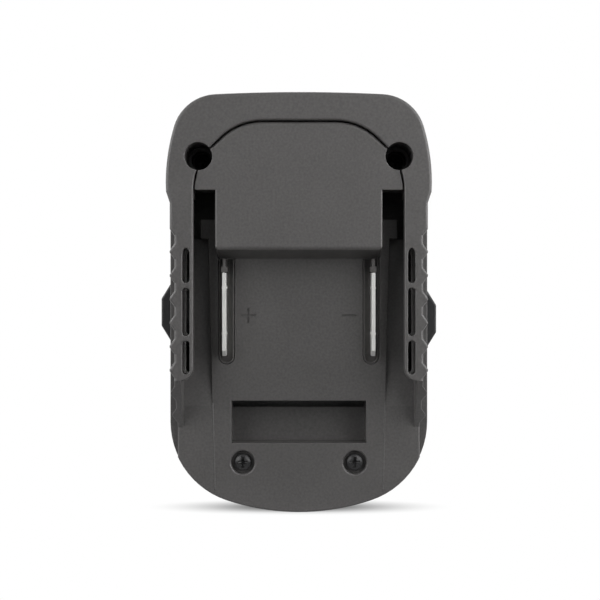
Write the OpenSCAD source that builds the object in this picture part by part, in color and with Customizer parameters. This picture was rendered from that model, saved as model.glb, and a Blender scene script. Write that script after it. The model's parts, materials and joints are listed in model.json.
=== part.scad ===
// Slide-in tool battery adapter, standing with its battery side to the front.
// X runs across, Y runs from the battery side to the tool side, and Z runs up.
// The origin lies on the tool seat, midway along the tool rails.
// Depths in the source are counted backwards from the front face of the battery rails.

/* [Outline] */
// Width across the straight sides
body_w = 77.8; // [76.4:0.2:82]
// Width across the shoulders
shoulder_w = 78.2; // [77.8:0.2:84]
// Height of the crown above the origin
crown_z = 61.1; // [60:0.1:66]
// Height of the shoulders above the origin
shoulder_z = 34.5; // [32:0.1:36]
// Height at which the shoulders meet the straight sides
waist_z = 28.5; // [26:0.1:30]
// Drop of the lowest point below the origin
body_drop = 64; // [60:0.1:70]
// Radius of the bowed flanks above the shoulders
flank_r = 58; // [40:1:90]
// Radius of the head's corners
head_corner_r = 13.2; // [8:0.1:16]
// Radius of the gently bowed crown
crown_r = 490; // [300:10:900]
// Radius of the two lower corners
low_corner_r = 25; // [18:0.1:27]
// Radius of the bowed lower edge
low_edge_r = 68.8; // [60:0.2:80]

/* [Depths] */
// Height of the battery rails above the deck
rail_h = 12; // [10:0.5:14]
// Depth from the deck to the joint between the shells
front_h = 11; // [10.5:0.5:14]
// Depth from the joint between the shells to the tool seat
rear_h = 8; // [7.5:0.5:11]
// Height of the tool-side tower above its seat
tower_h = 15; // [13:0.5:20]
// Wall of the two shells
wall = 2.4; // [1.8:0.1:3]

/* [Battery rails] */
// Gap between the two rail lips
rail_gap = 62; // [60:0.2:63]
// Reach of a lip over its groove
lip_w = 3.7; // [3:0.1:4.2]
// Thickness of a lip
lip_t = 4; // [3:0.1:5]
// Drop of the lips' lower ends below the origin
lip_drop = 23.7; // [20:0.1:26]
// Rounding of a lip's lower corner
lip_corner_r = 3.5; // [1:0.1:3.6]
// Height at which the grooves behind the lips end
groove_top_z = 30; // [27:0.5:31]
// Drop at which the side strips have run down to the deck
strip_drop = 38.3; // [33:0.1:42]

/* [Vents] */
// Width of a vent slot
vent_w = 2.1; // [1.5:0.1:2.6]
// Distance of the vents from the centre line
vent_x = 33.1; // [32.7:0.1:33.4]
// Height of the upper end of the top vent
vent_top_z = 15.2; // [13:0.1:17]
// Lengths of the three vents, from the top
vent_lengths = [10.2, 14, 9.8];
// Bridge between two vents
vent_bridge = 1.5; // [1:0.1:2.5]
// Height of the tall round end of the top vent
vent_end_h = 2.2; // [1.4:0.1:4]

/* [Side grip] */
// Height of the first grip tooth
grip_top_z = 21.1; // [19:0.1:24]
// Distance from tooth to tooth
grip_pitch = 6.95; // [6:0.05:7.2]
// Number of notches on a side
grip_count = 8; // [4:1:8]
// Set-back of the teeth's tips from the side
grip_inset = 1; // [0.5:0.1:1.4]
// Depth of a notch between two teeth
grip_cut = 1.4; // [0.8:0.1:1.6]
// Depth of the ledge behind the teeth, below the deck
ledge_cut = 2; // [0.5:0.1:2.4]
// Land at the tip of a tooth
grip_land = 0.5; // [0.3:0.1:1.2]
// Rise of a notch's sloping end
grip_slope = 2; // [1:0.1:2.4]

/* [Terminal hood] */
// Width of the rim at the crown
rim_w = 8.3; // [7:0.1:9.5]
// Width of the arch's flat top
arch_flat_w = 21.4; // [18:0.2:23]
// Radius of the arch's shoulders
arch_r = 18.2; // [16:0.1:18.8]
// Joint between the hood and the rim
hood_gap = 0.35; // [0.3:0.05:1]
// Recess of the hood's face behind the rim
hood_recess = 0.8; // [0.4:0.1:1.5]
// Wall of the hood
hood_wall = 2; // [1.4:0.1:2.6]
// Height of the ledges beside the hood's nose
hood_ledge_z = 32.4; // [31.5:0.1:34]
// Width of the hood's nose
nose_w = 49.2; // [48:0.2:52]
// Height of the nose's lower edge at its face
nose_z = 14.8; // [13.5:0.1:17]
// Spread of the nose's lower edge down to the deck
nose_spread = 2.4; // [0.5:0.1:3]

/* [Deck] */
// Distance of the side channels from the centre line at their top
channel_top_x = 27.4; // [26.5:0.1:29]
// Distance of the side channels from the centre line at their lower end
channel_low_x = 26.1; // [25.5:0.1:28]
// Height of the top of the side channels
channel_top_z = 18.5; // [17:0.1:20]
// Drop at which the side channels have run out
channel_drop = 32; // [26:0.5:36]
// Depth of the side channels at their top
channel_cut = 6; // [3:0.1:6.4]
// Height at which the side wells narrow
well_z = 24.3; // [22:0.1:26]
// Distance of the narrow part of a well from the centre line
well_step_x = 29.7; // [28.4:0.1:30.4]
// Width of the latch pocket
latch_w = 40.6; // [36:0.2:42]
// Drop of the latch pocket's upper edge
latch_top_drop = 30.4; // [29.5:0.1:31.5]
// Height of the latch pocket
latch_h = 12.7; // [11:0.1:13]
// Depth of the latch pocket
latch_cut = 9.5; // [7:0.1:10]
// Height of the slot along the latch pocket's upper edge
latch_slot_h = 2.4; // [1:0.1:3]
// Wall round the latch pocket
latch_wall = 1.6; // [1.2:0.1:1.8]
// Distance of the polarity marks from the centre line
mark_x = 15.2; // [12:0.1:16]
// Drop of the polarity marks
mark_drop = 4.7; // [0:0.1:12]
// Size of the polarity marks
mark_size = 4.4; // [3:0.1:6]
// Stroke of the polarity marks
mark_stroke = 0.65; // [0.4:0.05:1]
// Depth of the polarity marks
mark_cut = 0.4; // [0.2:0.05:0.8]

/* [Blade terminals] */
// Distance of the blades from the centre line
blade_x = 22.2; // [21.9:0.1:22.4]
// Thickness of a blade
blade_t = 1.1; // [0.8:0.1:1.4]
// Height of a blade's upper end
blade_top_z = 8.1; // [7:0.1:9]
// Drop of a blade's tip
blade_drop = 16.7; // [15:0.1:17]
// Height of a blade above the deck
blade_h = 7; // [5:0.1:8]
// Narrowing of a blade's tip
blade_tip = 1.6; // [0.8:0.1:3]
// Radius of the contact bumps
bump_r = 0.9; // [0.7:0.1:1.2]
// Height of the contact bumps above the blade's face
bump_h = 0.35; // [0.2:0.05:0.5]
// Distance of the holders from the centre line
holder_x = 21.75; // [21.6:0.05:22]
// Width of a holder's channel
holder_slot_w = 3.7; // [3.5:0.1:4.2]
// Rim round a holder's channel
holder_rim = 0.4; // [0.4:0.05:0.8]
// Drop of a holder's round end
holder_drop = 19.2; // [19:0.1:21]
// Height of a holder's upper end under the hood
holder_top_z = 23.2; // [22.6:0.1:23.6]
// Depth of a holder below the deck
holder_depth = 5; // [4.6:0.1:5.4]
// Depth of a holder's channel below the deck
holder_cut = 1.4; // [0.8:0.1:2]
// Height of a holder's rim above the deck
holder_proud = 0.2; // [0.1:0.05:0.4]
// Reach of a holder's flange under the deck
holder_flange = 1.4; // [0.8:0.1:2]
// Width of the stub above a blade
stub_w = 1.8; // [1.4:0.1:2.4]
// Height of the stub above a blade
stub_h = 1.7; // [1:0.1:2.4]
// Width of the rib that joins the stub to the hood
stub_rib_w = 0.8; // [0.6:0.1:1.2]
// Step of the stub behind the blade's front edge
stub_step = 0.5; // [0.2:0.1:1]

/* [Release buttons] */
// Height of the left button's middle
left_button_z = -3.7; // [-6:0.1:-2]
// Height of the right button's middle
right_button_z = -5.7; // [-7:0.05:-3]
// Height of a button at the side of the body
button_base_h = 18.4; // [15:0.1:19]
// Height of a button's flat face
button_face_h = 8.3; // [5:0.1:10]
// Depth of a button, front to back
button_depth = 10; // [9:0.1:10.2]
// Reach of a button beyond the side
button_proud = 3.1; // [2.9:0.1:4.5]
// Height of a button's arm and hook
arm_h = 8; // [6:0.1:9]
// Thickness of the post that carries a hook
post_w = 5; // [4:0.1:6]
// Reach of a hook beyond the tower, which is also the button's travel
hook_proud = 2.6; // [1.5:0.1:2.8]
// Thickness of a hook
hook_t = 5; // [3:0.1:5.5]
// Outer diameter of a return spring
spring_d = 6; // [5.2:0.1:6.4]
// Wire of a return spring
spring_wire = 0.6; // [0.4:0.05:0.8]
// Turns of a return spring
spring_turns = 4.5; // [3:0.5:6]

/* [Tool side] */
// Width of the tower's neck
neck_w = 42; // [40:0.2:44]
// Width across the tower's rails
tool_rail_w = 53; // [51.5:0.2:56]
// Thickness of the tower's rails
tool_rail_t = 6; // [4.5:0.1:6.5]
// Length of the tower
tower_len = 60; // [58:0.5:66]
// Thickness of the stop at the tower's lower end
tower_stop = 4; // [3:0.1:6]
// Lead-in at the tower's upper end
lead_in = 3; // [1:0.1:5]
// Width of the bare label place below the tower
label_w = 36; // [24:0.5:40]
// Height of the bare label place
label_h = 14; // [8:0.5:16]
// Drop of the label place's middle
label_drop = 43; // [40:0.5:46]
// Depth of the label place
label_cut = 0.4; // [0.2:0.05:0.8]
// Distance of the tool contacts from the centre line
clip_x = 8; // [7:0.1:9.5]
// Length of the terminal block
block_len = 22; // [20:0.5:24]
// Width of the contact slots
slot_w = 3.4; // [3.2:0.1:4]
// Sheet of the tool contacts
clip_t = 0.6; // [0.4:0.05:0.7]
// Gap that takes the tool's blades
clip_gap = 1; // [0.8:0.05:1.4]
// Diameter of the leads
lead_d = 2; // [1.4:0.1:2.6]

/* [Screws] */
// Distance of the upper screws from the centre line
upper_screw_x = 29.5; // [29:0.1:30]
// Distance of the upper screws below the crown
upper_screw_drop = 18.9; // [18:0.1:19.8]
// Diameter of the deep holes over the upper screws
upper_hole_d = 8.1; // [7:0.1:8.6]
// Depth at which the deep holes narrow to the screws' heads
upper_step = 15; // [14:0.1:17]
// Depth of the upper screws' seats
upper_seat = 20; // [19:0.1:20.6]
// Room round the heads of the upper screws
head_room = 0.4; // [0.2:0.05:0.6]
// Distance of the lower screws from the centre line
lower_screw_x = 16.9; // [12:0.1:18]
// Drop of the lower screws
lower_screw_drop = 49; // [48.6:0.1:51]
// Diameter of the sinks round the lower screws
lower_sink_d = 7; // [6:0.1:7.4]
// Depth of the sinks round the lower screws
lower_sink = 2.4; // [2:0.1:3.4]
// Diameter of a screw's head
screw_head_d = 5; // [4.4:0.1:5.6]
// Height of a screw's head
screw_head_h = 1.9; // [1.4:0.1:2.4]
// Diameter of a screw's shank
screw_d = 3; // [2.4:0.1:3.2]
// Wall of the bosses round the screws
boss_wall = 2; // [1.6:0.1:2.4]

/* [Clearances] */
// Room round pieces that are pushed in place
fit_gap = 0.15; // [0.1:0.05:0.25]
// Room round pieces that slide
slide_gap = 0.3; // [0.2:0.05:0.4]

/* [Hidden] */

$fn = 48;
// Most turn and most length from point to point on an outline's arcs
arc_step = 7;
arc_chord = 2.5;
// Overrun of a cut past the face that it opens
over = 1;
// Overrun of a cut past the whole body
far = 60;

shell_color = "#4b4a4a";
hood_color = "#4d4c4b";
holder_color = "#3a3a3a";
button_color = "#2a2a2b";
metal_color = "#d6d6d2";
screw_color = "#1f1f20";
left = -1;
right = 1;

// Depths behind the front face of the battery rails
deck_t = rail_h;
part_t = deck_t + front_h;
seat_t = part_t + rear_h;
tower_t = seat_t + tower_h;
deck_in_t = deck_t + wall;
rear_in_t = seat_t - wall;

// Heights that follow from the crown
arch_z = crown_z - rim_w;
upper_screw_z = crown_z - upper_screw_drop;

// Places worked out across the body
groove_x = rail_gap / 2 + lip_w;
neck_in_x = neck_w / 2 - wall;
holder_w = holder_slot_w + 2 * holder_rim;
holder_t = deck_t + holder_depth;
channel_wall = 1.8;
well_back_t = deck_t + channel_cut + channel_wall + over;
channel_in_x = holder_x + holder_w / 2 + fit_gap + slide_gap;

// Places of the buttons' moving parts
travel = hook_proud;
button_t = [part_t - button_depth / 2, part_t + button_depth / 2];
side_in_x = body_w / 2 - wall;
flange_x = side_in_x - slide_gap;
flange_w = 3.2;
flange_rim = 1.6;
flange_step = 0.8;
arm_room = 1.2;
arm_t = [holder_t + arm_room, button_t[1] - flange_step];
post_room = 0.6;
post_x = [neck_in_x - post_room - post_w, neck_in_x - post_room];
rail_under_t = tower_t - tool_rail_t;
hook_room = 1;
hook_back_t = rail_under_t - hook_room;
spring_t = (arm_t[0] + arm_t[1]) / 2;
rib_w = 4;
peg_d = spring_d - 2 * spring_wire - 2 * slide_gap;
peg_len = 2.6;

// Places of the tool contacts
block_low_z = tower_len / 2 - block_len;
block_t = [seat_t, tower_t - wall];
clip_tail_z = tower_len / 2 - block_len / 2;
clip_tail_h = 4;
clip_tail_len = 3;
clip_half = clip_gap / 2 + clip_t;
tab_len = 3;
tab_back_t = holder_t + tab_len;
tail_h = 2;
tail_t = holder_t - tail_h;
lead_t = tab_back_t - lead_d / 2;

// Sizes of the screws' bosses and holes
boss_d = screw_d + 2 * boss_wall;
screw_hole_d = screw_d + 2 * slide_gap;
upper_bore_d = screw_head_d + 2 * head_room;
upper_boss_d = upper_bore_d + 2 * boss_wall;
pilot_d = screw_d + fit_gap;
pilot_stop = 0.6;
pilot_t = rear_in_t + pilot_stop;
lower_seat_t = deck_t + lower_sink;

// Depth turned into the row's Y
function y_at(t) = t - seat_t;

// Points on an arc about a centre, from one angle to another, leaving out the first few
function arc(centre, r, from, to, skip = 0) =
    let (
        turn = abs(to - from),
        steps = max(1, ceil(turn / arc_step), ceil(r * turn * PI / 180 / arc_chord))
    )
    [for (i = [skip:steps])
        let (a = from + (to - from) * i / steps)
        centre + r * [cos(a), sin(a)]];

// A right-hand outline, drawn from its foot upwards, joined to its mirror image
function both_sides(points) = concat(
    points,
    [for (i = [len(points) - 1:-1:0]) if (points[i].x > 0.001) [-points[i].x, points[i].y]]
);

// Right-hand point at one distance from a lower point and another from a point above it
function meeting_point(low, low_r, high, high_r) =
    let (
        span = high - low,
        apart = norm(span),
        along = (low_r * low_r - high_r * high_r + apart * apart) / (2 * apart),
        aside = sqrt(low_r * low_r - along * along)
    )
    low + (along * span + aside * [span.y, -span.x]) / apart;

// Outline of the body, drawn in by an inset
function body_points(inset) =
    let (
        edge_z = low_edge_r - body_drop,
        low_x = body_w / 2 - low_corner_r,
        low_reach = low_edge_r - low_corner_r,
        low_a = asin(low_x / low_reach) - 90,
        low_z = edge_z - sqrt(low_reach * low_reach - low_x * low_x),
        flank = [shoulder_w / 2 - flank_r, shoulder_z],
        crown = [0, crown_z - crown_r],
        head = meeting_point(crown, crown_r - head_corner_r, flank, flank_r - head_corner_r),
        flank_a = atan2(head.y - flank.y, head.x - flank.x),
        crown_a = atan2(head.y - crown.y, head.x - crown.x)
    )
    both_sides(concat(
        arc([0, edge_z], low_edge_r - inset, -90, low_a),
        arc([low_x, low_z], low_corner_r - inset, low_a, 0, 1),
        [[body_w / 2 - inset, waist_z]],
        arc(flank, flank_r - inset, 0, flank_a),
        arc(head, head_corner_r - inset, flank_a, crown_a, 1),
        arc(crown, crown_r - inset, crown_a, 90, 1)
    ));

// Outline of the arch in the rim, down to the lips' lower ends, drawn in by an inset
function arch_points(inset) =
    let (
        step = rail_gap / 2 - arch_r - arch_flat_w / 2,
        upper = [arch_flat_w / 2, arch_z - arch_r],
        lower = upper + step * [1, -1]
    )
    both_sides(concat(
        [[rail_gap / 2 - inset, -lip_drop]],
        arc(lower, arch_r - inset, 0, 45),
        arc(upper, arch_r - inset, 45, 90)
    ));

// A shape drawn in X and Z, from one depth to another
module slab(from, to) translate([0, y_at(to), 0]) rotate([90, 0, 0]) linear_extrude(to - from) children();

// A shape drawn in Y and Z, from one X to another
module across(from, to) translate([from, 0, 0]) rotate([90, 0, 90]) linear_extrude(to - from) children();

// A block between two corners, each given as X, depth and Z
module block(low, high) translate([low.x, y_at(low.y), low.z]) cube(high - low);

// A round bar along Y, from one depth to another
module bar(x, z, d, from, to)
    translate([x, y_at(from), z]) rotate([-90, 0, 0]) cylinder(d = d, h = to - from);

// A round bar along X, from one X to another
module cross_bar(t, z, d, from, to)
    translate([from, y_at(t), z]) rotate([0, 90, 0]) cylinder(d = d, h = to - from);

// The child on the right-hand side, or its mirror image on the left
module on_side(side) mirror([side == left ? 1 : 0, 0, 0]) children();

// An upright slot with round ends, from its lower end up
module upright_slot(x, low_z, len, w) {
    translate([x, low_z + w / 2]) circle(d = w);
    translate([x, low_z + len - w / 2]) circle(d = w);
    translate([x - w / 2, low_z + w / 2]) square([w, len - w]);
}

// A tall half ellipse on a foot, which closes the upper end of a slot
module tall_end(x, foot_z, w, h) {
    steps = ceil(180 / arc_step);
    polygon([for (i = [0:steps])
        let (a = 180 * i / steps)
        [x + w / 2 * cos(a), foot_z + h * sin(a)]]);
}

// Rim at the lips, with each lip's lower corner rounded
module lip_profile() {
    difference() {
        polygon(body_points(0));
        polygon(arch_points(0));
        translate([-groove_x, -lip_drop - 2 * far]) square([2 * groove_x, 2 * far]);
        for (side = [left, right])
            mirror([side == left ? 1 : 0, 0])
                translate([rail_gap / 2, -lip_drop])
                    difference() {
                        square(lip_corner_r);
                        translate([lip_corner_r, lip_corner_r]) circle(lip_corner_r);
                    }
    }
}

// Rim behind the lips, opened out by their grooves
module groove_profile() {
    difference() {
        polygon(body_points(0));
        polygon(arch_points(0));
        translate([-groove_x, groove_top_z - 2 * far]) square([2 * groove_x, 2 * far]);
    }
}

// Everything in front of the ramps that end the side strips
module strip_ramp() {
    rise = (strip_drop - lip_drop) / rail_h;
    across(-far, far)
        polygon([
            [y_at(-over), -lip_drop + over * rise],
            [y_at(deck_t), -strip_drop],
            [y_at(deck_t), -2 * far],
            [y_at(-over), -2 * far]
        ]);
}

// Everything outside the toothed edge of the rim, down to the ledge behind the teeth
module side_relief() {
    side_x = body_w / 2;
    tip_x = side_x - grip_inset;
    valley_x = tip_x - grip_cut;
    last_z = grip_top_z - grip_count * grip_pitch - grip_land / 2;
    notches = [for (i = [0:grip_count - 1])
        let (
            top = grip_top_z - i * grip_pitch - grip_land / 2,
            low = top - grip_pitch + grip_land
        )
        each [[tip_x, top], [valley_x, top - grip_slope], [valley_x, low + grip_slope], [tip_x, low]]];
    slab(-over, deck_t + ledge_cut)
        polygon(concat(
            [[side_x + over, shoulder_z], [tip_x, waist_z]],
            notches,
            [[tip_x, last_z], [valley_x, last_z - grip_slope]],
            [[valley_x, -body_drop], [side_x + over, -body_drop]]
        ));
}

// The three vents through one lip and the floor behind it, into the shell
module vents() {
    starts = [
        vent_top_z,
        vent_top_z - vent_lengths[0] - vent_bridge,
        vent_top_z - vent_lengths[0] - vent_lengths[1] - 2 * vent_bridge
    ];
    end_z = starts[0] - vent_end_h;
    slab(-over, part_t) {
        upright_slot(vent_x, starts[0] - vent_lengths[0], vent_lengths[0] - vent_end_h, vent_w);
        translate([vent_x - vent_w / 2, end_z - vent_w]) square(vent_w);
        tall_end(vent_x, end_z, vent_w, vent_end_h);
        for (i = [1, 2]) upright_slot(vent_x, starts[i] - vent_lengths[i], vent_lengths[i], vent_w);
    }
}

// Everything in front of a side channel's sloping floor, or of a plane some way behind it
module channel_slope(behind) {
    across(0, far)
        polygon([
            [y_at(deck_t + behind), -channel_drop], [y_at(deck_t + channel_cut + behind), channel_top_z],
            [y_at(deck_t - over), channel_top_z], [y_at(deck_t - over), -channel_drop]
        ]);
}

// One side channel, which deepens upwards, with the well above it
module side_channel() {
    intersection() {
        slab(deck_t - over, well_back_t)
            polygon([
                [channel_top_x, channel_top_z], [channel_low_x, -channel_drop],
                [groove_x, -channel_drop], [groove_x, channel_top_z]
            ]);
        channel_slope(0);
    }
    well_in_x = nose_w / 2 + slide_gap;
    block([well_in_x, deck_t - over, well_z], [groove_x, well_back_t, hood_ledge_z]);
    block([well_step_x, deck_t - over, channel_top_z], [groove_x, well_back_t, well_z + over]);
}

// Outline of one blade holder in X and Z, drawn in by an inset, up to a top edge
module holder_profile(inset, top_z) {
    w = holder_w - 2 * inset;
    translate([holder_x, -holder_drop + holder_w / 2]) circle(d = w);
    translate([holder_x - w / 2, -holder_drop + holder_w / 2])
        square([w, top_z + holder_drop - holder_w / 2]);
}

// The room that one button takes up, with its travel
module button_room(z) {
    half = button_base_h / 2 + slide_gap;
    rim = half + flange_rim;
    reach = body_w / 2 + button_proud;
    front_t = button_t[0] - slide_gap;
    back_t = button_t[1] + slide_gap;
    inward = travel + slide_gap;
    block([flange_x - over - inward, front_t, z - half], [reach, back_t, z + half]);
    block([flange_x - flange_w - inward, front_t + flange_step, z - rim],
          [side_in_x, back_t - flange_step, z + rim]);
}

// Battery-side shell: rim, rails, deck and latch pocket
module front_housing() {
    lowest_button = min(left_button_z, right_button_z);
    highest_button = max(left_button_z, right_button_z);
    latch_low_z = -latch_top_drop - latch_h;
    latch_back_t = deck_t + latch_cut;
    color(shell_color)
    difference() {
        union() {
            difference() {
                union() {
                    slab(deck_t, part_t) polygon(body_points(0));
                    slab(lip_t, deck_t) groove_profile();
                    slab(0, lip_t) lip_profile();
                }
                difference() {
                    slab(deck_in_t, part_t + over) polygon(body_points(wall));
                    for (side = [left, right])
                        on_side(side) {
                            intersection() {
                                block([channel_in_x, deck_t, -channel_drop], [far, part_t, channel_top_z]);
                                channel_slope(channel_wall);
                            }
                            block([channel_in_x, deck_t, channel_top_z],
                                  [far, well_back_t - over, hood_ledge_z]);
                        }
                }
            }
            for (side = [left, right]) {
                bar(side * upper_screw_x, upper_screw_z, upper_boss_d, deck_t, part_t);
                bar(side * lower_screw_x, -lower_screw_drop, lower_sink_d + wall, deck_t, part_t);
            }
            block([-latch_w / 2 - latch_wall, deck_t, latch_low_z - latch_wall],
                  [latch_w / 2 + latch_wall, latch_back_t + latch_wall, -latch_top_drop + latch_wall]);
            block([-rib_w / 2, deck_t, lowest_button - spring_d / 2 - slide_gap],
                  [rib_w / 2, spring_t + spring_d / 2, highest_button + spring_d / 2 + slide_gap]);
            for (button = [[left, left_button_z], [right, right_button_z]])
                on_side(button[0]) cross_bar(spring_t, button[1], peg_d, 0, rib_w / 2 + peg_len);
        }
        strip_ramp();
        for (side = [left, right]) {
            bar(side * upper_screw_x, upper_screw_z, upper_hole_d, -over, upper_step);
            bar(side * upper_screw_x, upper_screw_z, upper_bore_d, 0, upper_seat);
            bar(side * upper_screw_x, upper_screw_z, screw_hole_d, 0, part_t + over);
            bar(side * lower_screw_x, -lower_screw_drop, lower_sink_d, deck_t - over, lower_seat_t);
            bar(side * lower_screw_x, -lower_screw_drop, screw_hole_d, deck_t, part_t + over);
            on_side(side) {
                side_relief();
                vents();
                side_channel();
                slab(deck_t - over, holder_t + over) holder_profile(-fit_gap, holder_top_z + fit_gap);
            }
        }
        on_side(left) button_room(left_button_z);
        on_side(right) button_room(right_button_z);
        block([-latch_w / 2, deck_t - over, latch_low_z], [latch_w / 2, latch_back_t, -latch_top_drop]);
        block([-latch_w / 2, deck_t, -latch_top_drop - latch_slot_h],
              [latch_w / 2, latch_back_t + latch_wall + over, -latch_top_drop]);
        for (side = [left, right])
            block([side * mark_x - mark_size / 2, deck_t - over, -mark_drop - mark_stroke / 2],
                  [side * mark_x + mark_size / 2, deck_t + mark_cut, -mark_drop + mark_stroke / 2]);
        block([-mark_x - mark_stroke / 2, deck_t - over, -mark_drop - mark_size / 2],
              [-mark_x + mark_stroke / 2, deck_t + mark_cut, -mark_drop + mark_size / 2]);
    }
}

// Lower part of the hood, whose underside spreads towards the deck
module hood_nose(inset, face_t) {
    low_z = nose_z + inset;
    across(-nose_w / 2 + inset, nose_w / 2 - inset)
        polygon([
            [y_at(face_t), low_z], [y_at(deck_t), low_z - nose_spread],
            [y_at(deck_t), hood_ledge_z + hood_wall + over], [y_at(face_t), hood_ledge_z + hood_wall + over]
        ]);
}

// Upper part of the hood, drawn in from the arch by an inset and cut off at a foot
module hood_arch(inset, foot_z) {
    intersection() {
        polygon(arch_points(inset));
        translate([-far, foot_z]) square(2 * far);
    }
}

// Cover over the terminal roots
module terminal_hood() {
    inner = hood_gap + hood_wall;
    inside_t = hood_recess + hood_wall;
    color(hood_color)
    difference() {
        union() {
            slab(hood_recess, deck_t) hood_arch(hood_gap, hood_ledge_z);
            hood_nose(0, hood_recess);
        }
        slab(inside_t, deck_t + over) hood_arch(inner, hood_ledge_z + hood_wall);
        hood_nose(hood_wall, inside_t);
        for (side = [left, right])
            bar(side * upper_screw_x, upper_screw_z, upper_hole_d, -over, deck_t + over);
    }
}

// Flat outline of the tower's rails, with the lead-in at the upper end
module tool_rail_profile() {
    half = tool_rail_w / 2;
    top = tower_len / 2;
    polygon([
        [-half, -top], [half, -top], [half, top - lead_in], [half - lead_in, top],
        [-half + lead_in, top], [-half, top - lead_in]
    ]);
}

// Tool-side shell with the tower and its rails
module rear_housing() {
    top = tower_len / 2;
    color(shell_color)
    difference() {
        union() {
            difference() {
                slab(part_t, seat_t) polygon(body_points(0));
                slab(part_t - over, rear_in_t) polygon(body_points(wall));
            }
            block([-neck_w / 2, seat_t - over, -top], [neck_w / 2, tower_t, top]);
            slab(rail_under_t, tower_t) tool_rail_profile();
            block([-tool_rail_w / 2, seat_t - over, -top], [tool_rail_w / 2, tower_t, -top + tower_stop]);
            for (side = [left, right]) {
                bar(side * upper_screw_x, upper_screw_z, boss_d, part_t, seat_t);
                bar(side * lower_screw_x, -lower_screw_drop, boss_d, part_t, seat_t);
            }
        }
        block([-neck_in_x, rear_in_t - over, -top + tower_stop + wall],
              [neck_in_x, tower_t - wall, block_low_z]);
        block([-neck_in_x, seat_t, block_low_z - over], [neck_in_x, tower_t - wall, top + over]);
        for (side = [left, right]) {
            bar(side * upper_screw_x, upper_screw_z, pilot_d, part_t - over, pilot_t);
            bar(side * lower_screw_x, -lower_screw_drop, pilot_d, part_t - over, pilot_t);
            block([side * clip_x - slot_w / 2, tower_t - wall - over, block_low_z + wall],
                  [side * clip_x + slot_w / 2, tower_t + over, top + over]);
            block([side * clip_x - lead_d - clip_half, rear_in_t - over, clip_tail_z - clip_tail_h],
                  [side * clip_x + lead_d + clip_half, seat_t + over, clip_tail_z + clip_tail_h]);
        }
        block([-label_w / 2, seat_t - label_cut, -label_drop - label_h / 2],
              [label_w / 2, seat_t + over, -label_drop + label_h / 2]);
        for (button = [[left, left_button_z], [right, right_button_z]])
            on_side(button[0]) {
                button_room(button[1]);
                block([neck_in_x - over, hook_back_t - hook_t - slide_gap, button[1] - arm_h / 2 - slide_gap],
                      [neck_w / 2 + over, hook_back_t + slide_gap, button[1] + arm_h / 2 + slide_gap]);
            }
    }
}

// Insulating block that carries the tool contacts
module terminal_block() {
    top = tower_len / 2;
    color(holder_color)
    difference() {
        block([-neck_in_x + fit_gap, block_t[0], block_low_z + fit_gap],
              [neck_in_x - fit_gap, block_t[1] - fit_gap, top]);
        for (side = [left, right])
            translate([side * clip_x, 0, 0]) {
                block([-slot_w / 2, block_t[0] + wall, block_low_z + wall],
                      [slot_w / 2, block_t[1] + over, top + over]);
                block([-clip_half - fit_gap, block_t[0] - over, clip_tail_z - clip_tail_h / 2 - fit_gap],
                      [clip_half + fit_gap, tower_t, clip_tail_z + clip_tail_h / 2 + fit_gap]);
            }
    }
}

// Spring contact that takes one of the tool's blades
module tool_clip(side) {
    floor_t = block_t[0] + wall;
    low_z = block_low_z + wall + over;
    high_z = tower_len / 2 - over;
    mouth_t = block_t[1] - over;
    color(metal_color)
    translate([side * clip_x, 0, 0]) {
        for (leaf = [left, right])
            on_side(leaf) block([clip_gap / 2, floor_t, low_z], [clip_half, mouth_t, high_z]);
        block([-clip_half, floor_t, low_z], [clip_half, floor_t + clip_t, high_z]);
        block([-clip_t / 2, rear_in_t - clip_tail_len, clip_tail_z - clip_tail_h / 2],
              [clip_t / 2, floor_t + clip_t, clip_tail_z + clip_tail_h / 2]);
    }
}

// Soldered lead from a blade's tab to a tool contact's tail
module lead(side) {
    drop_x = clip_x + clip_t / 2 + lead_d / 2 + fit_gap / 2;
    end_x = blade_x - blade_t / 2;
    color(side == left ? "#8c1f1c" : "#1c1c1e")
    on_side(side) {
        cross_bar(lead_t, clip_tail_z, lead_d, drop_x, end_x);
        translate([drop_x, y_at(lead_t), clip_tail_z]) sphere(d = lead_d);
        bar(drop_x, clip_tail_z, lead_d, lead_t, rear_in_t - wall / 2);
    }
}

// Blade terminal with its root, its soldering tab and two contact bumps
module blade(side) {
    front_t = deck_t - blade_h;
    length = blade_top_z + blade_drop;
    bump_x = blade_x - blade_t / 2 + bump_r - bump_h;
    bump_places = [0.18, 0.73];
    tab_low_z = clip_tail_z - lead_d;
    tab_high_z = clip_tail_z + lead_d;
    color(metal_color)
    on_side(side) {
        across(blade_x - blade_t / 2, blade_x + blade_t / 2)
            polygon([
                [y_at(front_t), blade_top_z], [y_at(front_t), -blade_drop + blade_tip],
                [y_at(front_t + blade_tip), -blade_drop], [y_at(holder_t), -blade_drop],
                [y_at(holder_t), tab_low_z], [y_at(tab_back_t), tab_low_z],
                [y_at(tab_back_t), tab_high_z], [y_at(tail_t), tab_high_z], [y_at(tail_t), blade_top_z]
            ]);
        for (place = bump_places)
            translate([bump_x, y_at(deck_t - blade_h / 2), blade_top_z - length * place]) sphere(bump_r);
    }
}

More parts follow.
